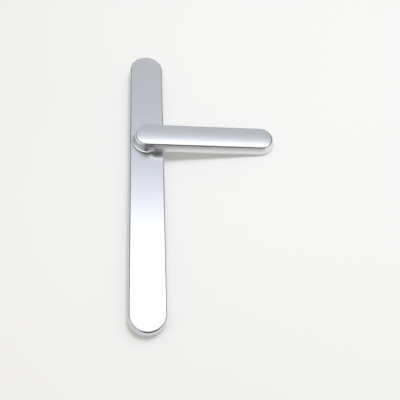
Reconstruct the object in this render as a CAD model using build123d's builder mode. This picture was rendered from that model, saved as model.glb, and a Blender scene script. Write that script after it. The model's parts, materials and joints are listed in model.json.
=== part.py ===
# Low-profile lever handle on a long blind backplate, for a door behind a roller shutter.
# Frame: the origin is on the turning axis, at the back face that meets the door.
# +Z is up along the backplate, +X is the way the lever points, and the room side is -Y.
# A height below is measured from the back face towards the hand, so a height h lies at Y = -h.

from math import asin, atan2, cos, degrees, radians, sin, sqrt
import os

from build123d import *

os.makedirs("parts", exist_ok=True)

# Cover plate
plate_width = 30.0
plate_length = 264.0
plate_depth = 10.0
spindle_below_top = 95.0
cover_wall = 1.8
cover_edge_radius = 1.8

# Lever
lever_reach = 112.5
lever_width = 26.0
underside_radius = 1.5
side_height = 4.0
shoulder_inset = 0.5
shoulder_radius = 2.8
flank_height = 1.9
face_inset = 3.3
crown_rise = 0.7
crease_radius = 0.5

# Neck between the lever and the cover plate: the lever's side reaches down to it as a flared skirt
neck_radius = 12.7
neck_clearance = 0.3
foot_height = 1.5
foot_inset = 0.5
skirt_drop = 2.4
skirt_hollow = 0.4
shoulder_drop = 1.0
lip_radius = 0.6
blend_run = 9.0
blend_steps = 4
seal_wire = 1.2
seal_wall = 0.5

# Journal of the lever and the socket for the square spindle
journal_radius = 7.0
journal_recess = 0.3
journal_tail = 0.5
journal_flat = 6.4
groove_depth = 0.5
spindle_square = 8.0
spindle_slack = 0.1
socket_end_wall = 4.0
running_gap = 0.05
fit_gap = 0.02

# Nylon bush that carries the journal
bush_wall = 1.05
bush_flange_recess = 0.8
bush_seal_gap = 0.4

# Rings that hold the lever in
ring_thickness = 1.0
ring_width = 1.7
ring_opening = 3.0
ring_ear_radius = 1.4
ring_ear_hole = 0.7
washer_thickness = 0.5
washer_width = 2.6

# Spring, its driver and the stop: the room that the wire leaves between bush and pocket is shared out
driver_thickness = 1.2
driver_rim_gap = 0.3
spring_wire = 1.2
spring_turns = 1.6
spring_coil_gap = 0.03
spring_bore_share = 0.375
lug_share = 0.5
spring_leg_gap = 0.05
leg_hole_gap = 0.12
lug_root = 0.65
lug_width_angle = 20.0
lug_direction = -90.0
stop_slack_angle = 0.4
lever_travel = 40.0

# Cast base plate inside the cover
base_gap = 0.2
base_wall = 1.8
base_floor = 1.6
pocket_floor = 1.2
pocket_wall = 1.3
rib_thickness = 1.2
rib_tip = 2.0
rib_pitch = 15.5

# Threaded inserts for the through bolts
insert_from_end = 14.0
insert_radius = 3.4
insert_bore_radius = 2.1
insert_length = 6.5
insert_recess = 0.1
insert_waist_depth = 0.4
insert_band = 1.6
insert_boss_wall = 1.8
insert_blind = 0.7

# Posts of the cover and the screws that hold the base plate to them
post_radius = 2.3
post_pilot_radius = 1.1
post_length = 4.2
post_hole_floor = 1.1
post_gap = 0.12
cup_wall = 1.2
cup_web = 1.0
cup_into_wall = 0.45
near_screw_margin = 7.4
upper_screw_from_end = 36.0
lower_screw_from_end = 62.0
screw_shank_radius = 1.05
screw_hole_radius = 1.4
screw_head_radius = 2.3
screw_head_height = 1.3
screw_head_round = 0.65
screw_tip_chamfer = 0.5
screw_bite = 3.2
drive_cross_width = 0.6
drive_cross_length = 2.6
drive_cross_depth = 0.7

# Sizes worked out from the ones above
front = Plane(origin=(0, 0, 0), x_dir=(1, 0, 0), z_dir=(0, -1, 0))
across = Plane(origin=(0, 0, 0), x_dir=(0, 0, 1), z_dir=(1, 0, 0))
turning_axis = Axis((0, 0, 0), (0, -1, 0))
plate_top = spindle_below_top
plate_bottom = spindle_below_top - plate_length
plate_centre = (plate_top + plate_bottom) / 2
inner_depth = plate_depth - cover_wall

neck_base = plate_depth + neck_clearance
foot_radius = neck_radius - foot_inset
skirt_foot = neck_base + foot_height
lever_underside = skirt_foot + skirt_drop
widest_foot = lever_underside + underside_radius
shoulder = widest_foot + side_height
face_edge = shoulder + flank_height
lever_top = face_edge + crown_rise
lever_half = lever_width / 2
shoulder_half = lever_half - shoulder_inset
face_half = lever_half - face_inset
crown_radius = (face_half**2 + crown_rise**2) / (2 * crown_rise)
grip_run = lever_reach - lever_half

ring_back = journal_recess + journal_tail
ring_front = ring_back + ring_thickness
washer_back = ring_front + running_gap
washer_front = washer_back + washer_thickness
driver_back = washer_front + running_gap
driver_front = driver_back + driver_thickness
bush_back = driver_front + running_gap
bush_front = plate_depth + neck_clearance - running_gap
bush_radius = journal_radius + running_gap + bush_wall
groove_radius = journal_radius - groove_depth
socket_half = spindle_square / 2 + spindle_slack
socket_depth = lever_top - socket_end_wall - journal_recess

base_half = plate_width / 2 - cover_wall - base_gap
base_hollow_half = base_half - base_wall
pocket_radius = base_half - pocket_wall
pocket_depth = inner_depth - pocket_floor
driver_radius = pocket_radius - driver_rim_gap
spring_room = pocket_radius - bush_radius - spring_wire
spring_inner = bush_radius + spring_bore_share * spring_room
spring_radius = spring_inner + spring_wire / 2
spring_outer = spring_inner + spring_wire
lug_radius = pocket_radius - lug_share * spring_room
spring_lug_gap = lug_radius - spring_outer
spring_pitch = spring_wire + spring_coil_gap
spring_rise = spring_turns * spring_pitch
spring_foot = pocket_depth - spring_leg_gap - spring_wire / 2 - spring_rise
lug_half_angle = lug_width_angle / 2
fixed_leg_angle = (
    lug_direction + lug_half_angle + degrees(asin((spring_wire / 2 + spring_leg_gap) / lug_radius))
)
driver_leg_angle = fixed_leg_angle - 360 * spring_turns

seal_radius = foot_radius - seal_wall - seal_wire / 2
bush_flange_radius = seal_radius - seal_wire / 2 - bush_seal_gap

cup_radius = post_radius + post_gap + cup_wall
post_side = base_hollow_half - cup_radius + cup_into_wall
post_tip = inner_depth - post_length
cup_tip = post_tip - cup_web
screw_head_tip = cup_tip - screw_head_height
insert_places = [
    (0, plate_top - insert_from_end),
    (0, plate_centre),
    (0, plate_bottom + insert_from_end),
]
near_screw_level = pocket_radius + pocket_wall + cup_radius + near_screw_margin
screw_levels = [
    plate_top - upper_screw_from_end,
    near_screw_level,
    -near_screw_level,
    plate_bottom + lower_screw_from_end,
]
screw_places = [(side * post_side, level) for level in screw_levels for side in (-1, 1)]
insert_boss_radius = insert_radius + insert_boss_wall


def arc_points(radius, start_angle, end_angle):
    """The start, middle and end of an arc about the turning axis, for a sketch on the front plane."""
    middle = (start_angle + end_angle) / 2
    return [
        (radius * cos(radians(a)), radius * sin(radians(a))) for a in (start_angle, middle, end_angle)
    ]


def ring_sector(inner, outer, start_angle, end_angle):
    """The face of a sector of a ring about the turning axis."""
    outside = arc_points(outer, start_angle, end_angle)
    inside = arc_points(inner, start_angle, end_angle)
    with BuildSketch() as sector:
        with BuildLine():
            ThreePointArc(*outside)
            Line(outside[2], inside[2])
            ThreePointArc(*inside)
            Line(inside[0], outside[0])
        make_face()
    return sector.sketch


def journal_hole():
    """The hole that fits the journal where it has its two flats."""
    with BuildSketch() as hole:
        Circle(journal_radius + fit_gap)
        Rectangle(2 * (journal_flat + fit_gap), 2 * (journal_radius + fit_gap), mode=Mode.INTERSECT)
    return hole.sketch


def lever_half_section(share):
    """Half of the lever's section, from its middle outwards: at 0 the skirted hub's, at 1 the grip's."""
    foot = skirt_foot + share * skirt_drop
    corner_radius = lip_radius + share * (underside_radius - lip_radius)
    widest = neck_radius + share * (lever_half - neck_radius)
    side_foot = foot + corner_radius
    side_head = shoulder - (1 - share) * shoulder_drop
    corner = corner_radius * (1 - sqrt(0.5))
    side_middle = (shoulder_half + widest) / 2 - (1 - share) * skirt_hollow
    with BuildSketch() as section:
        with BuildLine():
            Line((0, lever_top), (0, foot))
            Line((0, foot), (widest - corner_radius, foot))
            ThreePointArc(
                (widest - corner_radius, foot),
                (widest - corner, foot + corner),
                (widest, side_foot),
            )
            if share < 1:
                ThreePointArc(
                    (widest, side_foot),
                    (side_middle, (side_foot + side_head) / 2),
                    (shoulder_half, side_head),
                )
            else:
                Line((widest, side_foot), (shoulder_half, side_head))
            Line((shoulder_half, side_head), (face_half, face_edge))
            RadiusArc((face_half, face_edge), (0, lever_top), -crown_radius)
        make_face()
        face_corner = section.vertices().sort_by_distance((face_half, face_edge))[0]
        fillet(face_corner, crease_radius)
        shoulder_corner = section.vertices().sort_by_distance((shoulder_half, side_head))[0]
        fillet(shoulder_corner, shoulder_radius)
    return section.sketch


# Cover plate: a shell with round ends, its posts cast on the inside
with BuildPart() as cover_plate:
    with BuildSketch(front):
        with Locations((0, plate_centre)):
            SlotOverall(plate_length, plate_width, rotation=90)
    extrude(amount=plate_depth)
    fillet(cover_plate.faces().sort_by(Axis.Y)[0].edges(), cover_edge_radius)
    with BuildSketch(front):
        with Locations((0, plate_centre)):
            SlotOverall(plate_length - 2 * cover_wall, plate_width - 2 * cover_wall, rotation=90)
    extrude(amount=inner_depth, mode=Mode.SUBTRACT)
    with BuildSketch(front.offset(post_tip)):
        with Locations(*screw_places):
            Circle(post_radius)
    extrude(amount=post_length)
    with BuildSketch(front.offset(post_tip)):
        with Locations(*screw_places):
            Circle(post_pilot_radius)
    extrude(amount=plate_depth - post_hole_floor - post_tip, mode=Mode.SUBTRACT)
    with BuildSketch(front):
        Circle(bush_radius + fit_gap)
    extrude(amount=plate_depth, mode=Mode.SUBTRACT)
    with BuildSketch(front.offset(plate_depth)):
        Circle(bush_flange_radius + running_gap)
    extrude(amount=-bush_flange_recess, mode=Mode.SUBTRACT)
cover_plate.part.label = "cover_plate"
export_step(cover_plate.part, "parts/cover_plate.step")

# Base plate: a ribbed casting, open to the door, with a round pocket for the spring
with BuildPart() as base_plate:
    with BuildSketch(front):
        with Locations((0, plate_centre)):
            SlotOverall(plate_length - plate_width + 2 * base_half, 2 * base_half, rotation=90)
    extrude(amount=inner_depth)
    with BuildSketch(front):
        with Locations((0, plate_centre)):
            SlotOverall(
                plate_length - plate_width + 2 * base_hollow_half, 2 * base_hollow_half, rotation=90
            )
    extrude(amount=inner_depth - base_floor, mode=Mode.SUBTRACT)
    rib_count = int((plate_length - plate_width) / rib_pitch)
    with BuildSketch(front.offset(rib_tip)):
        with Locations((0, plate_centre)):
            Rectangle(rib_thickness, plate_length - plate_width + base_hollow_half)
            with GridLocations(1, rib_pitch, 1, rib_count):
                Rectangle(2 * base_hollow_half + base_wall, rib_thickness)
    extrude(amount=inner_depth - rib_tip)
    with BuildSketch(front.offset(cup_tip)):
        with Locations(*screw_places):
            Circle(cup_radius)
    extrude(amount=inner_depth - cup_tip)
    with BuildSketch(front.offset(screw_head_tip - cup_web)):
        with Locations(*screw_places):
            Circle(cup_radius)
    extrude(amount=cup_tip - screw_head_tip + cup_web, mode=Mode.SUBTRACT)
    with BuildSketch(front):
        with Locations(*insert_places):
            Circle(insert_boss_radius)
        Circle(pocket_radius + pocket_wall - fit_gap)
    extrude(amount=inner_depth)
    with BuildSketch(front):
        with Locations(*insert_places):
            Circle(insert_radius + fit_gap)
    extrude(amount=inner_depth - insert_blind, mode=Mode.SUBTRACT)
    with BuildSketch(front):
        Circle(pocket_radius)
    extrude(amount=pocket_depth, mode=Mode.SUBTRACT)
    with BuildSketch(front.offset(driver_back)):
        add(
            ring_sector(
                lug_radius,
                pocket_radius + lug_root,
                lug_direction - lug_half_angle,
                lug_direction + lug_half_angle,
            )
        )
    extrude(amount=pocket_depth - driver_back)
    with BuildSketch(front):
        Circle(bush_radius + fit_gap)
    extrude(amount=inner_depth, mode=Mode.SUBTRACT)
    with BuildSketch(front.offset(post_tip)):
        with Locations(*screw_places):
            Circle(post_radius + post_gap)
    extrude(amount=inner_depth - post_tip, mode=Mode.SUBTRACT)
    with BuildSketch(front.offset(cup_tip)):
        with Locations(*screw_places):
            Circle(screw_hole_radius)
    extrude(amount=cup_web, mode=Mode.SUBTRACT)
base_plate.part.label = "base_plate"
export_step(base_plate.part, "parts/base_plate.step")

# Lever: the grip, the skirted hub and the journal are one casting
with BuildPart() as lever:
    with BuildSketch(across.offset(blend_run)):
        add(lever_half_section(1))
        mirror(about=Plane.YZ)
    extrude(amount=grip_run - blend_run)
    with BuildSketch(across.offset(grip_run)):
        add(lever_half_section(1))
    revolve(axis=Axis((grip_run, 0, 0), (0, 1, 0)), revolution_arc=180)
    with BuildSketch(across):
        add(lever_half_section(0))
    revolve(axis=turning_axis, revolution_arc=180)
    for step in range(blend_steps + 1):
        run = step / blend_steps
        with BuildSketch(across.offset(run * blend_run)):
            add(lever_half_section(run**2 * (3 - 2 * run)))
            mirror(about=Plane.YZ)
    loft()
    with BuildSketch(front.offset(neck_base)):
        Circle(foot_radius)
    extrude(amount=lever_underside - neck_base)
    with BuildSketch(front.offset(journal_recess)):
        Circle(journal_radius)
    extrude(amount=neck_base - journal_recess)
    with BuildSketch(front.offset(ring_back - fit_gap)):
        Circle(journal_radius)
        Circle(groove_radius, mode=Mode.SUBTRACT)
    extrude(amount=ring_thickness + 2 * fit_gap, mode=Mode.SUBTRACT)
    with BuildSketch(front.offset(journal_recess)):
        Circle(journal_radius)
        Rectangle(2 * journal_flat, 2 * journal_radius, mode=Mode.SUBTRACT)
    extrude(amount=driver_front - journal_recess, mode=Mode.SUBTRACT)
    with BuildSketch(front.offset(journal_recess)):
        Rectangle(2 * socket_half, 2 * socket_half)
    extrude(amount=socket_depth, mode=Mode.SUBTRACT)
    with BuildSketch(front.offset(neck_base)):
        Circle(seal_radius + seal_wire / 2 + fit_gap)
        Circle(seal_radius - seal_wire / 2 - fit_gap, mode=Mode.SUBTRACT)
    extrude(amount=seal_wire + fit_gap - neck_clearance, mode=Mode.SUBTRACT)
lever.part.label = "lever"
export_step(lever.part, "parts/lever.step")

# Neck seal: a rubber ring in the neck's groove, wiping on the cover plate
with BuildPart() as neck_seal:
    with BuildSketch(across):
        with Locations((seal_radius, plate_depth + seal_wire / 2)):
            Circle(seal_wire / 2 - fit_gap / 2)
    revolve(axis=turning_axis)
neck_seal.part.label = "neck_seal"
export_step(neck_seal.part, "parts/neck_seal.step")

# Neck bush: a flanged sleeve of nylon through the cover plate and the base plate
with BuildPart() as neck_bush:
    with BuildSketch(front.offset(bush_back)):
        Circle(bush_radius)
        Circle(journal_radius + running_gap, mode=Mode.SUBTRACT)
    extrude(amount=bush_front - bush_back)
    with BuildSketch(front.offset(plate_depth - bush_flange_recess)):
        Circle(bush_flange_radius)
        Circle(journal_radius + running_gap, mode=Mode.SUBTRACT)
    extrude(amount=bush_front - plate_depth + bush_flange_recess)
neck_bush.part.label = "neck_bush"
export_step(neck_bush.part, "parts/neck_bush.step")

# Spring driver: a stamped disc on the journal's flats, notched for the stop lug
with BuildPart() as spring_driver:
    with BuildSketch(front.offset(driver_back)):
        Circle(driver_radius)
        notch = ring_sector(
            spring_outer,
            driver_radius + driver_rim_gap,
            lug_direction - lug_half_angle - stop_slack_angle,
            lug_direction + lug_half_angle + stop_slack_angle + lever_travel,
        )
        add(notch, mode=Mode.SUBTRACT)
        with PolarLocations(spring_radius, 1, start_angle=driver_leg_angle):
            Circle(spring_wire / 2 + leg_hole_gap, mode=Mode.SUBTRACT)
        add(journal_hole(), mode=Mode.SUBTRACT)
    extrude(amount=driver_thickness)
spring_driver.part.label = "spring_driver"
export_step(spring_driver.part, "parts/spring_driver.step")

# Return spring: a coil with one leg in the driver and one leg against the lug
with BuildPart() as wound_spring:
    with BuildLine():
        coil = Helix(spring_pitch, spring_rise, spring_radius, (0, -spring_foot, 0), (0, -1, 0))
    coil_start = coil @ 0
    coil_end = coil @ 1
    with BuildSketch(Plane(origin=coil_start, z_dir=coil % 0)):
        Circle(spring_wire / 2)
    sweep(is_frenet=True)
    with Locations(coil_start, coil_end):
        Sphere(spring_wire / 2)
    with BuildSketch(Plane(origin=coil_start, z_dir=(0, 1, 0))):
        Circle(spring_wire / 2)
    extrude(amount=spring_foot - driver_back - spring_leg_gap)
    with BuildSketch(Plane(origin=coil_end, z_dir=(coil_end.X, 0, coil_end.Z))):
        Circle(spring_wire / 2)
    extrude(amount=pocket_radius - spring_lug_gap - spring_radius)
wound_angle = degrees(atan2(coil_end.Z, coil_end.X))
return_spring = wound_spring.part.rotate(turning_axis, fixed_leg_angle - wound_angle)
return_spring.label = "return_spring"
export_step(return_spring, "parts/return_spring.step")

# Thrust washer between the driver and the retaining ring
with BuildPart() as thrust_washer:
    with BuildSketch(front.offset(washer_back)):
        Circle(journal_radius + running_gap + washer_width)
        Circle(journal_radius + running_gap, mode=Mode.SUBTRACT)
    extrude(amount=washer_thickness)
thrust_washer.part.label = "thrust_washer"
export_step(thrust_washer.part, "parts/thrust_washer.step")

# Retaining ring: an open spring ring with two eared ends, in the journal's groove
with BuildPart() as retaining_ring:
    ear_side = ring_opening / 2 + ring_ear_radius
    ear_level = groove_radius + ring_ear_radius
    with BuildSketch(front.offset(ring_back)):
        Circle(groove_radius + ring_width)
        with Locations((-ear_side, ear_level), (ear_side, ear_level)):
            Circle(ring_ear_radius)
        Circle(groove_radius + fit_gap, mode=Mode.SUBTRACT)
        with Locations((0, groove_radius + ring_width)):
            Rectangle(ring_opening, 2 * (ring_width + ring_ear_radius), mode=Mode.SUBTRACT)
        with Locations((-ear_side, ear_level), (ear_side, ear_level)):
            Circle(ring_ear_hole, mode=Mode.SUBTRACT)
    extrude(amount=ring_thickness)
retaining_ring.part.label = "retaining_ring"
export_step(retaining_ring.part, "parts/retaining_ring.step")

# Threaded inserts: steel sleeves in the base plate for the through bolts
for insert_name, insert_place in zip(("upper_insert", "middle_insert", "lower_insert"), insert_places):
    with BuildPart() as insert:
        with BuildSketch(front.offset(insert_recess)):
            with Locations(insert_place):
                Circle(insert_radius)
                Circle(insert_bore_radius, mode=Mode.SUBTRACT)
        extrude(amount=insert_length)
        with BuildSketch(front.offset(insert_recess + insert_band)):
            with Locations(insert_place):
                Circle(insert_radius)
                Circle(insert_radius - insert_waist_depth, mode=Mode.SUBTRACT)
        extrude(amount=insert_length - 2 * insert_band, mode=Mode.SUBTRACT)
    insert.part.label = insert_name
    export_step(insert.part, f"parts/{insert_name}.step")

# Base screws: pan heads with a cross drive, through the cups into the cover's posts
for number, screw_place in enumerate(screw_places, start=1):
    with BuildPart() as base_screw:
        with BuildSketch(front.offset(screw_head_tip)):
            with Locations(screw_place):
                Circle(screw_head_radius)
        extrude(amount=screw_head_height)
        fillet(base_screw.faces().sort_by(Axis.Y)[-1].edges(), screw_head_round)
        with BuildSketch(front.offset(cup_tip)):
            with Locations(screw_place):
                Circle(screw_shank_radius)
        extrude(amount=cup_web + screw_bite)
        chamfer(base_screw.faces().sort_by(Axis.Y)[0].edges(), screw_tip_chamfer)
        with BuildSketch(front.offset(screw_head_tip)):
            with Locations(screw_place):
                Rectangle(drive_cross_length, drive_cross_width)
                Rectangle(drive_cross_width, drive_cross_length)
        extrude(amount=drive_cross_depth, mode=Mode.SUBTRACT)
    base_screw.part.label = f"base_screw_{number}"
    export_step(base_screw.part, f"parts/base_screw_{number}.step")
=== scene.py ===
import json
from math import cos, pi, radians, sin, sqrt, tan

import bmesh
import bpy
from mathutils import Matrix, Quaternion, Vector


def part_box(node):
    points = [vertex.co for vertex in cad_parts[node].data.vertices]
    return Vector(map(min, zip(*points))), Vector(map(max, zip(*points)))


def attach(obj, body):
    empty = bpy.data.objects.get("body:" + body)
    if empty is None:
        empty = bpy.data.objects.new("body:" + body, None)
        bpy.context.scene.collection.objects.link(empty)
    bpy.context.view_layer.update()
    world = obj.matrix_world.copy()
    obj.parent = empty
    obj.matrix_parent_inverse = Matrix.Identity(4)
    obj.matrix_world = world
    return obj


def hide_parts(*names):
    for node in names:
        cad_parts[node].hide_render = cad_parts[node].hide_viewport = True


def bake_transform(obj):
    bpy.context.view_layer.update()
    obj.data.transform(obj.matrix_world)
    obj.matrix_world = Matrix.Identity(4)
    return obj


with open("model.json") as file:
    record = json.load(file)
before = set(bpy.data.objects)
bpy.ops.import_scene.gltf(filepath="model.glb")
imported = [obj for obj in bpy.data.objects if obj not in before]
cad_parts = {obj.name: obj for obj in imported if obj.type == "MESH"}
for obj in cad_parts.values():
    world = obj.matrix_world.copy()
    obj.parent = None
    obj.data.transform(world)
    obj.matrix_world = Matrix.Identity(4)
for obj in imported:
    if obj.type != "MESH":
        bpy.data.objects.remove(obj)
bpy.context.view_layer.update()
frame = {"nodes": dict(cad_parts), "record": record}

# A lever handle on a long blind plate. Lengths are metres, but the lever's sections are millimetres.
nodes = frame["nodes"]
mm_per_metre = 1000.0
sharp_angle = radians(32.0)

# Points closer than the first distance are one, edges shorter than the second go, and the third joins a
# mirrored half to its other half.
same_place = 1e-7
shortest_edge = 1e-6
mirror_merge = 1e-6


# Shader maths: a wrapped socket takes part in Python expressions, which add the Math nodes.
class Value:
    def __init__(self, owner, socket):
        self.owner = owner
        self.socket = socket

    def math(self, operation, other):
        node = self.owner.node("ShaderNodeMath", {"operation": operation}, {0: self, 1: other})
        return Value(self.owner, node.outputs[0])

    def __add__(self, other):
        return self.math("ADD", other)

    def __mul__(self, other):
        return self.math("MULTIPLY", other)

    __radd__ = __add__
    __rmul__ = __mul__

    def between(self, low, high):
        """0 below low, 1 above high, and smooth in between."""
        settings = {"interpolation_type": "SMOOTHSTEP"}
        inputs = {"Value": self, "From Min": low, "From Max": high}
        node = self.owner.node("ShaderNodeMapRange", settings, inputs)
        return Value(self.owner, node.outputs["Result"])


class Shading:
    """The nodes of a material or of the world."""

    # The colour sockets of a Mix node, whose names stand for other sockets too
    mix_low, mix_high, mix_result = 6, 7, 2

    def __init__(self, data):
        data.use_nodes = True
        self.data = data
        self.tree = data.node_tree

    def node(self, kind, settings, inputs):
        made = self.tree.nodes.new(kind)
        for name, value in settings.items():
            setattr(made, name, value)
        for name, value in inputs.items():
            self.feed(made.inputs[name], value)
        return made

    def feed(self, socket, value):
        if isinstance(value, Value):
            value = value.socket
        if isinstance(value, bpy.types.NodeSocket):
            self.tree.links.new(value, socket)
        else:
            socket.default_value = value

    def blend(self, factor, low, high):
        """A colour between low and high."""
        inputs = {"Factor": factor, self.mix_low: low, self.mix_high: high}
        return self.node("ShaderNodeMix", {"data_type": "RGBA"}, inputs).outputs[self.mix_result]

    def seen(self):
        """1 where the camera looks, itself or by a reflection, and 0 for all other light."""
        path = self.node("ShaderNodeLightPath", {}, {})
        return Value(self, path.outputs["Is Camera Ray"]).math("MAXIMUM", path.outputs["Is Glossy Ray"])


class Finish(Shading):
    """A procedural material on Object coordinates."""

    def __init__(self, name, **constants):
        super().__init__(bpy.data.materials.new(name))
        self.shader = self.tree.nodes["Principled BSDF"]
        for socket, value in constants.items():
            self.shader.inputs[socket.replace("_", " ")].default_value = value

    def place(self):
        return self.node("ShaderNodeTexCoord", {}, {}).outputs["Object"]

    def noise(self, scale, detail=2.0, roughness=0.5, stretch=(1.0, 1.0, 1.0), shift=(0.0, 0.0, 0.0)):
        """Noise about 0.5, scale features to the metre. A stretch below 1 draws them out along its axis."""
        place = {"Vector": self.place(), "Scale": stretch, "Location": shift}
        moved = self.node("ShaderNodeMapping", {}, place).outputs["Vector"]
        inputs = {"Vector": moved, "Scale": scale, "Detail": detail, "Roughness": roughness}
        return Value(self, self.node("ShaderNodeTexNoise", {}, inputs).outputs["Fac"])

    def cells(self, scale):
        """The distance to the nearest of strewn points, in spacings of which scale make a metre."""
        inputs = {"Vector": self.place(), "Scale": scale}
        return Value(self, self.node("ShaderNodeTexVoronoi", {"feature": "F1"}, inputs).outputs["Distance"])

    def colour(self, value):
        self.feed(self.shader.inputs["Base Color"], value)

    def roughness(self, value):
        self.feed(self.shader.inputs["Roughness"], value)

    def bump(self, height, depth):
        """Height from 0 to 1 stands for depth metres."""
        node = self.node("ShaderNodeBump", {}, {"Height": height, "Distance": depth, "Strength": 1.0})
        self.feed(self.shader.inputs["Normal"], node.outputs["Normal"])


def satin_aluminium(name, along):
    """Anodised aluminium with a fine satin grain that runs along one axis."""
    grain_stretch = tuple(0.04 if letter == along else 1.0 for letter in "XYZ")
    made = Finish(name, Metallic=0.9)
    grain = made.noise(3200.0, detail=3.0, stretch=grain_stretch)
    etch = made.noise(5200.0, detail=2.0, roughness=0.6)
    cloud = made.noise(38.0, detail=3.0, roughness=0.55)
    handling = made.noise(11.0, detail=2.0, shift=(0.3, 0.7, 0.1)).between(0.3, 0.8)
    tone = (cloud * 0.5 + grain * 0.35 + etch * 0.15).between(0.25, 0.75)
    made.colour(made.blend(tone, low=(0.785, 0.795, 0.818, 1.0), high=(0.828, 0.835, 0.85, 1.0)))
    made.roughness(0.26 + grain * 0.008 + etch * 0.008 + handling * 0.006)
    made.bump(grain * 0.6 + etch * 0.4, depth=0.0000003)
    return made.data


def cast_zinc():
    """Die-cast zinc, matt grey with flow marks and a fine pebble."""
    made = Finish("cast_zinc_finish", Metallic=1.0)
    flow = made.noise(75.0, detail=4.0, roughness=0.6, stretch=(1.0, 1.0, 0.25))
    pebble = made.noise(2600.0, detail=3.0, roughness=0.6)
    pits = made.cells(900.0).between(0.05, 0.32)
    tone = (flow * 0.7 + pebble * 0.3).between(0.3, 0.7)
    made.colour(made.blend(tone, low=(0.42, 0.43, 0.44, 1.0), high=(0.6, 0.605, 0.61, 1.0)))
    made.roughness(0.42 + flow * 0.12 + pebble * 0.08)
    made.bump(pebble * 0.7 + pits * 0.3, depth=0.00002)
    return made.data


def zinc_plated_steel():
    """Bright zinc plating with a faint blue and yellow cast."""
    made = Finish("zinc_plated_finish", Metallic=1.0)
    cast = made.noise(160.0, detail=2.0).between(0.35, 0.65)
    grain = made.noise(4200.0, detail=2.0)
    made.colour(made.blend(cast, low=(0.66, 0.69, 0.75, 1.0), high=(0.76, 0.74, 0.67, 1.0)))
    made.roughness(0.24 + grain * 0.12)
    made.bump(grain, depth=0.000004)
    return made.data


def spring_steel():
    """Oiled spring steel, nearly black, with drawing lines."""
    made = Finish("spring_steel_finish", Metallic=1.0)
    lines = made.noise(1800.0, detail=3.0, stretch=(1.0, 0.3, 1.0))
    tone = lines.between(0.3, 0.7)
    made.colour(made.blend(tone, low=(0.16, 0.155, 0.15, 1.0), high=(0.3, 0.295, 0.29, 1.0)))
    made.roughness(0.26 + lines * 0.14)
    made.bump(lines, depth=0.000005)
    return made.data


def moulded_nylon():
    """Off-white nylon, a little cloudy, with a fine mould skin."""
    made = Finish("nylon_finish", Specular_IOR_Level=0.45, Subsurface_Weight=0.1, Subsurface_Scale=0.002)
    mould = made.noise(1500.0, detail=2.0)
    cloud = made.noise(90.0, detail=2.0).between(0.3, 0.7)
    made.colour(made.blend(cloud, low=(0.74, 0.72, 0.66, 1.0), high=(0.82, 0.8, 0.75, 1.0)))
    made.roughness(0.38 + mould * 0.14)
    made.bump(mould, depth=0.00001)
    return made.data


def seal_rubber():
    """Black rubber with a greyish bloom."""
    made = Finish("seal_rubber_finish", Specular_IOR_Level=0.4)
    bloom = made.noise(420.0, detail=3.0).between(0.45, 0.8)
    skin = made.noise(3600.0, detail=2.0)
    made.colour(made.blend(bloom, low=(0.018, 0.018, 0.019, 1.0), high=(0.05, 0.05, 0.052, 1.0)))
    made.roughness(0.5 + skin * 0.2)
    made.bump(skin, depth=0.00001)
    return made.data


finishes = {
    "cast_zinc": cast_zinc(),
    "zinc_plated_steel": zinc_plated_steel(),
    "spring_steel": spring_steel(),
    "nylon": moulded_nylon(),
    "seal_rubber": seal_rubber(),
}
node_finishes = {sub["node"]: finishes.get(sub["material_slot"]) for sub in frame["record"]["subparts"]}
node_finishes["cover_plate"] = satin_aluminium("satin_aluminium_plate", along="Z")
node_finishes["lever"] = satin_aluminium("satin_aluminium_lever", along="X")
for name, body in nodes.items():
    body.data.materials.clear()
    body.data.materials.append(node_finishes[name])


def edges_of(geometry):
    return [item for item in geometry if isinstance(item, bmesh.types.BMEdge)]


def verts_of(geometry):
    return [item for item in geometry if isinstance(item, bmesh.types.BMVert)]


def chain(mesh, places):
    verts = [mesh.verts.new(place) for place in places]
    return verts + [mesh.edges.new(pair) for pair in zip(verts, verts[1:])]


def mesh_data(mesh, name):
    data = bpy.data.meshes.new(name)
    mesh.to_mesh(data)
    mesh.free()
    return data


def closed_mesh(mesh, name):
    """A closed shape without doubles, its faces outwards."""
    bmesh.ops.remove_doubles(mesh, verts=mesh.verts, dist=same_place)
    bmesh.ops.dissolve_degenerate(mesh, edges=mesh.edges, dist=shortest_edge)
    bmesh.ops.recalc_face_normals(mesh, faces=mesh.faces)
    return mesh_data(mesh, name)


def add_object(name, data):
    made = bpy.data.objects.new(name, data)
    bpy.context.scene.collection.objects.link(made)
    return made


def add_piece(name, data, finish):
    """A piece with smooth faces that keeps its sharp edges."""
    data.shade_smooth()
    data.set_sharp_from_angle(angle=sharp_angle)
    data.materials.append(finish)
    return add_object(name, data)


# The lever, finer than its CAD solid: a closed skin over the grip and the skirted hub, and the turned neck
# and journal with the blind square socket. Sections give distances outwards and heights above the door.
grip_end = 99.5
blend_end = 7.5
blend_steps = 12
face_edge = (9.7, 21.66)
face_middle = 22.3
face_rows = 8
grip_side = [face_edge, (10.05, 21.4), (10.4, 21.0), (10.68, 20.5), (11.4, 19.2), (12.1, 17.8),
             (12.65, 16.5), (12.98, 15.5), (12.85, 14.8), (12.3, 14.3), (11.5, 14.2)]
hub_side = [face_edge, (10.0, 21.4), (10.3, 21.0), (10.5, 20.5), (10.65, 18.5), (10.7, 16.5),
            (10.8, 14.3), (11.2, 12.95), (12.0, 12.45), (12.68, 12.25), (12.4, 11.8)]
side_steps = 4
under_shares = (0.6, 0.3, 0.0)
turn_steps = 24
neck_steps = 72
foot_radius, foot_base = 12.2, 10.3
seal_groove_inner, seal_groove_outer, seal_groove_top = 10.46, 11.74, 11.22
journal_radius, journal_end = 7.0, 0.3
ring_groove_radius, ring_groove_base, ring_groove_top = 6.5, 0.78, 1.82
flats_half, flats_top = 6.4, 3.6

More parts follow.
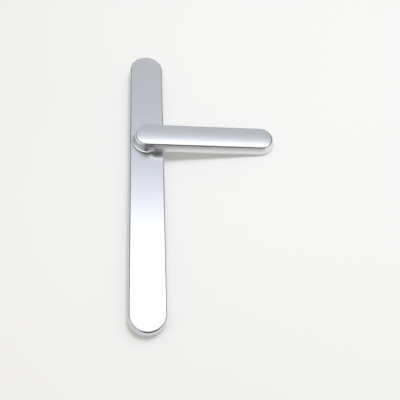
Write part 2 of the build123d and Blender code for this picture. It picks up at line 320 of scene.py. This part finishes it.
# The journal has points just above its flats too, which keep it round there.
flats_step = 0.01
neck_outline = [
    (0.0, 14.7), (9.8, 14.7), (10.2, 13.0), (10.9, 12.4), (12.0, 12.1), (foot_radius, 11.7),
    (foot_radius, foot_base), (seal_groove_outer, foot_base), (seal_groove_outer, seal_groove_top),
    (seal_groove_inner, seal_groove_top), (seal_groove_inner, foot_base), (journal_radius, foot_base),
    (journal_radius, flats_top + flats_step), (journal_radius, flats_top),
    (journal_radius, ring_groove_top), (ring_groove_radius, ring_groove_top),
    (ring_groove_radius, ring_groove_base), (journal_radius, ring_groove_base),
    (journal_radius, journal_end),
]
socket_half = 4.1
socket_top = 14.5


def point(outwards, height, x=0.0):
    """A point of a section that stands on the lever's lower side."""
    return Vector((x, -height, -outwards)) / mm_per_metre


def smooth_line(corners):
    """A Catmull-Rom line through the corners of a section."""
    line = []
    padded = [corners[0], *corners, corners[-1]]
    for before, start, end, after in zip(padded, padded[1:], padded[2:], padded[3:]):
        slope = end - before
        bend = 2 * before - 5 * start + 4 * end - after
        twist = 3 * start - before - 3 * end + after
        for step in range(side_steps):
            t = step / side_steps
            line.append(0.5 * (2 * start + slope * t + bend * t**2 + twist * t**3))
    return line + [corners[-1]]


def lever_section(share):
    """From the face's middle to the underside's: share is 0 at the hub and 1 at the grip."""
    edge_distance, edge_height = face_edge
    crown = face_middle - edge_height
    rows = [row / face_rows for row in range(face_rows)]
    face = [(edge_distance * row, face_middle - crown * row**2) for row in rows]
    side = smooth_line([Vector(hub).lerp(Vector(grip), share) for hub, grip in zip(hub_side, grip_side)])
    under = [(side[-1].x * part, side[-1].y) for part in under_shares]
    return face + [tuple(corner) for corner in side] + under


def spin(mesh, geometry, x, angle, steps, full=False):
    """Turns a chain about an axis that stands on the door at x, and gives its last copy."""
    made = bmesh.ops.spin(mesh, geom=geometry, cent=(x / mm_per_metre, 0.0, 0.0), axis=(0.0, 1.0, 0.0),
                          angle=radians(angle), steps=steps, use_merge=full, use_duplicate=False)
    return made["geom_last"]


def lever_skin():
    """Half the hub and half the grip, mirrored to the upper side."""
    mesh = bmesh.new()
    hub = chain(mesh, [point(*corner) for corner in lever_section(0.0)])
    bmesh.ops.rotate(mesh, verts=verts_of(hub), matrix=Matrix.Rotation(radians(90.0), 3, "Y"))
    last = spin(mesh, hub, 0.0, -90.0, turn_steps)
    blend_places = [blend_end * step / blend_steps for step in range(1, blend_steps + 1)]
    for x in blend_places + [grip_end]:
        run = min(x / blend_end, 1.0)
        section = lever_section(run**2 * (3 - 2 * run))
        last = bmesh.ops.extrude_edge_only(mesh, edges=edges_of(last))["geom"]
        for vert, corner in zip(verts_of(last), section):
            vert.co = point(*corner, x)
    spin(mesh, verts_of(last) + edges_of(last), grip_end, -90.0, turn_steps)
    half = mesh.verts[:] + mesh.edges[:] + mesh.faces[:]
    bmesh.ops.mirror(mesh, geom=half, matrix=Matrix.Identity(4), merge_dist=mirror_merge, axis="Z")
    return closed_mesh(mesh, "lever_skin")


def lever_neck():
    """The turned outline, flattened on two sides at the journal's end, with the square socket in it."""
    mesh = bmesh.new()
    outline = chain(mesh, [point(*corner) for corner in neck_outline])
    spin(mesh, outline, 0.0, 360.0, neck_steps, full=True)
    bmesh.ops.remove_doubles(mesh, verts=mesh.verts, dist=same_place)
    flat = flats_half / mm_per_metre
    for vert in mesh.verts:
        if -vert.co.y * mm_per_metre < flats_top + flats_step / 2:
            vert.co.x = max(-flat, min(flat, vert.co.x))
    rim = [edge for edge in mesh.edges if edge.is_boundary]
    square_turn = Matrix.Rotation(radians(90.0), 4, "X") @ Matrix.Rotation(radians(45.0), 4, "Z")
    mouth_place = Matrix.Translation(point(0.0, journal_end)) @ square_turn
    bmesh.ops.create_circle(mesh, segments=4, radius=socket_half * sqrt(2.0) / mm_per_metre,
                            cap_ends=False, matrix=mouth_place)
    mouth = [edge for edge in mesh.edges if edge.is_wire]
    bmesh.ops.triangle_fill(mesh, edges=rim + mouth, use_beauty=True)
    walls = bmesh.ops.extrude_edge_only(mesh, edges=mouth)["geom"]
    bmesh.ops.translate(mesh, verts=verts_of(walls), vec=point(0.0, socket_top - journal_end))
    bmesh.ops.contextual_create(mesh, geom=[edge for edge in edges_of(walls) if edge.is_boundary])
    return closed_mesh(mesh, "lever_neck")


casting = bmesh.new()
casting.from_mesh(lever_skin())
casting.from_mesh(lever_neck())
lever_casting = add_piece("lever_casting", mesh_data(casting, "lever_casting"), node_finishes["lever"])
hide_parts("lever")
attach(lever_casting, "lever")

# The return spring: a merged copy of its CAD mesh with smooth faces, fixed in place and not wound as the
# lever turns. On the handle, the leg in the driver turns with the lever and the leg on the lug stays.
spring_mesh = bmesh.new()
spring_mesh.from_mesh(nodes["return_spring"].data)
spring_data = closed_mesh(spring_mesh, "wound_spring")
wound_spring = add_piece("wound_spring", spring_data, node_finishes["return_spring"])
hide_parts("return_spring")
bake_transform(wound_spring)

# The pale surface that the handle lies on, upright here. The handle rests tipped on it, on one back edge of
# the plate and the lever's end. The surface has a hole inside the cover plate's outline, and it is seen
# through from behind.
plate_low, plate_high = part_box("cover_plate")
half_width = (plate_high.x - plate_low.x) / 2
hole_inset = 0.003
surface_reach = 3.0
surface_tilt = radians(8.4)
surface_lift = 0.12
half_round_steps = 47


def surface_finish():
    """Matt and pale, a little brighter to the camera than it lights the handle."""
    made = Finish("pale_surface", Roughness=0.85, Specular_IOR_Level=0.2, Emission_Strength=1.0)
    cloud = made.noise(2.2, detail=2.0).between(0.3, 0.7)
    made.colour(made.blend(cloud, low=(0.86, 0.862, 0.866, 1.0), high=(0.885, 0.886, 0.886, 1.0)))
    made.feed(made.shader.inputs["Emission Color"], made.seen() * surface_lift)
    back = made.node("ShaderNodeNewGeometry", {}, {}).outputs["Backfacing"]
    clear = made.node("ShaderNodeBsdfTransparent", {}, {}).outputs["BSDF"]
    mix = made.node("ShaderNodeMixShader", {}, {0: back, 1: made.shader.outputs["BSDF"], 2: clear})
    made.feed(made.tree.nodes["Material Output"].inputs["Surface"], mix.outputs["Shader"])
    return made.data


def rounded_loop(mesh, radius):
    """A loop with a half round about each of the plate's two end centres."""
    ends = []
    for x, centre in ((radius, plate_high.z - half_width), (-radius, plate_low.z + half_width)):
        first = mesh.verts.new((x, 0.0, centre))
        turned = bmesh.ops.spin(mesh, geom=[first], cent=(0.0, 0.0, centre), axis=(0.0, -1.0, 0.0),
                                angle=pi, steps=half_round_steps, use_duplicate=False)
        ends += [first, *verts_of(turned["geom_last"])]
    upper_start, upper_end, lower_start, lower_end = ends
    mesh.edges.new((upper_end, lower_start))
    mesh.edges.new((lower_end, upper_start))


surface_mesh = bmesh.new()
rounded_loop(surface_mesh, half_width - hole_inset)
rounded_loop(surface_mesh, surface_reach)
bmesh.ops.bridge_loops(surface_mesh, edges=surface_mesh.edges)
for vert in surface_mesh.verts:
    vert.co.y = -tan(surface_tilt) * (vert.co.x - half_width)
surface_mesh.normal_update()
bmesh.ops.reverse_faces(surface_mesh, faces=[face for face in surface_mesh.faces if face.normal.y > 0.0])
surface = add_object("pale_surface", mesh_data(surface_mesh, "pale_surface"))
surface.data.materials.append(surface_finish())

# World and lamps
world = Shading(bpy.data.worlds.new("studio"))
sky = world.blend(world.seen(), low=(0.46, 0.44, 0.375, 1.0), high=(0.52, 0.535, 0.565, 1.0))
world.feed(world.tree.nodes["Background"].inputs["Color"], sky)
bpy.context.scene.world = world.data


def area_lamp(name, place, target, width, height, radiance, colour=(1.0, 1.0, 1.0)):
    """A rectangular lamp, hidden from the camera, that is as bright at any size."""
    data = bpy.data.lights.new(name, "AREA")
    data.shape = "RECTANGLE"
    data.size = width
    data.size_y = height
    data.color = colour
    data.energy = radiance * width * height * pi
    lamp = add_object(name, data)
    lamp.location = place
    lamp.rotation_mode = "QUATERNION"
    lamp.rotation_quaternion = (Vector(target) - Vector(place)).to_track_quat("-Z", "Y")
    lamp.visible_camera = False
    return lamp


area_lamp("front_panel", place=(0.1, -1.2, 0.245), target=(0.1, 0.0, 0.245),
          width=1.5, height=0.55, radiance=1.3)
blue_strip = area_lamp("blue_strip", place=(0.1, -1.2, 0.62), target=(0.1, 0.0, 0.0),
                       width=1.5, height=0.16, radiance=0.25, colour=(0.35, 0.5, 1.0))
blue_strip.visible_diffuse = False
key = area_lamp("key", place=(0.1, -1.2, 0.04), target=(0.02, 0.0, -0.02),
                width=0.25, height=0.25, radiance=26.2, colour=(0.83, 0.86, 1.0))
key.visible_glossy = False
area_lamp("rear_panel", place=(-0.5, 1.1, 0.7), target=(0.0, 0.0, 0.0),
          width=1.0, height=0.6, radiance=1.6)

card_distance = 1.0
card_steps = 12
card_black = Finish("card_black", Base_Color=(0.01, 0.01, 0.01, 1.0)).data


def dark_card(name, axis, low, high, start, end):
    """A black sheet in front, bent about an axis from one angle to another, that only reflections see."""
    mesh = bmesh.new()
    along = Vector((axis == "X", 0.0, axis == "Z"))
    away = Vector((0.0, -card_distance, 0.0))
    edge = chain(mesh, [along * low + away, along * high + away])
    bmesh.ops.rotate(mesh, verts=verts_of(edge), matrix=Matrix.Rotation(radians(start), 3, axis))
    bmesh.ops.spin(mesh, geom=edge, axis=along, angle=radians(end - start), steps=card_steps)
    card = add_object(name, mesh_data(mesh, name))
    card.data.materials.append(card_black)
    card.visible_camera = False
    card.visible_diffuse = False
    card.visible_shadow = False


dark_card("lower_card", axis="X", low=-0.3, high=0.9, start=88.0, end=24.0)
dark_card("left_card", axis="Z", low=0.0, high=1.0, start=-85.0, end=-42.0)
dark_card("right_card", axis="Z", low=-0.2, high=1.0, start=46.0, end=85.0)

# The camera, fitted to the handle's outline: it looks up from a little to the left, and is rolled.
aim = Vector((0.045729, 0.0, -0.051303))
distance = 0.50401
azimuth, elevation, roll = radians(-9.036), radians(-27.17), radians(-3.0)
back = Vector((sin(azimuth) * cos(elevation), -cos(azimuth) * cos(elevation), sin(elevation)))
camera_data = bpy.data.cameras.new("camera")
camera_data.sensor_width = 36.0
camera_data.lens = 52.813
camera_data.clip_start = 0.01
camera = add_object("camera", camera_data)
camera.rotation_mode = "QUATERNION"
camera.location = aim + back * distance
camera.rotation_quaternion = (-back).to_track_quat("-Z", "Y") @ Quaternion((0.0, 0.0, 1.0), roll)
bpy.context.scene.camera = camera
bpy.context.scene.view_settings.view_transform = "Standard"
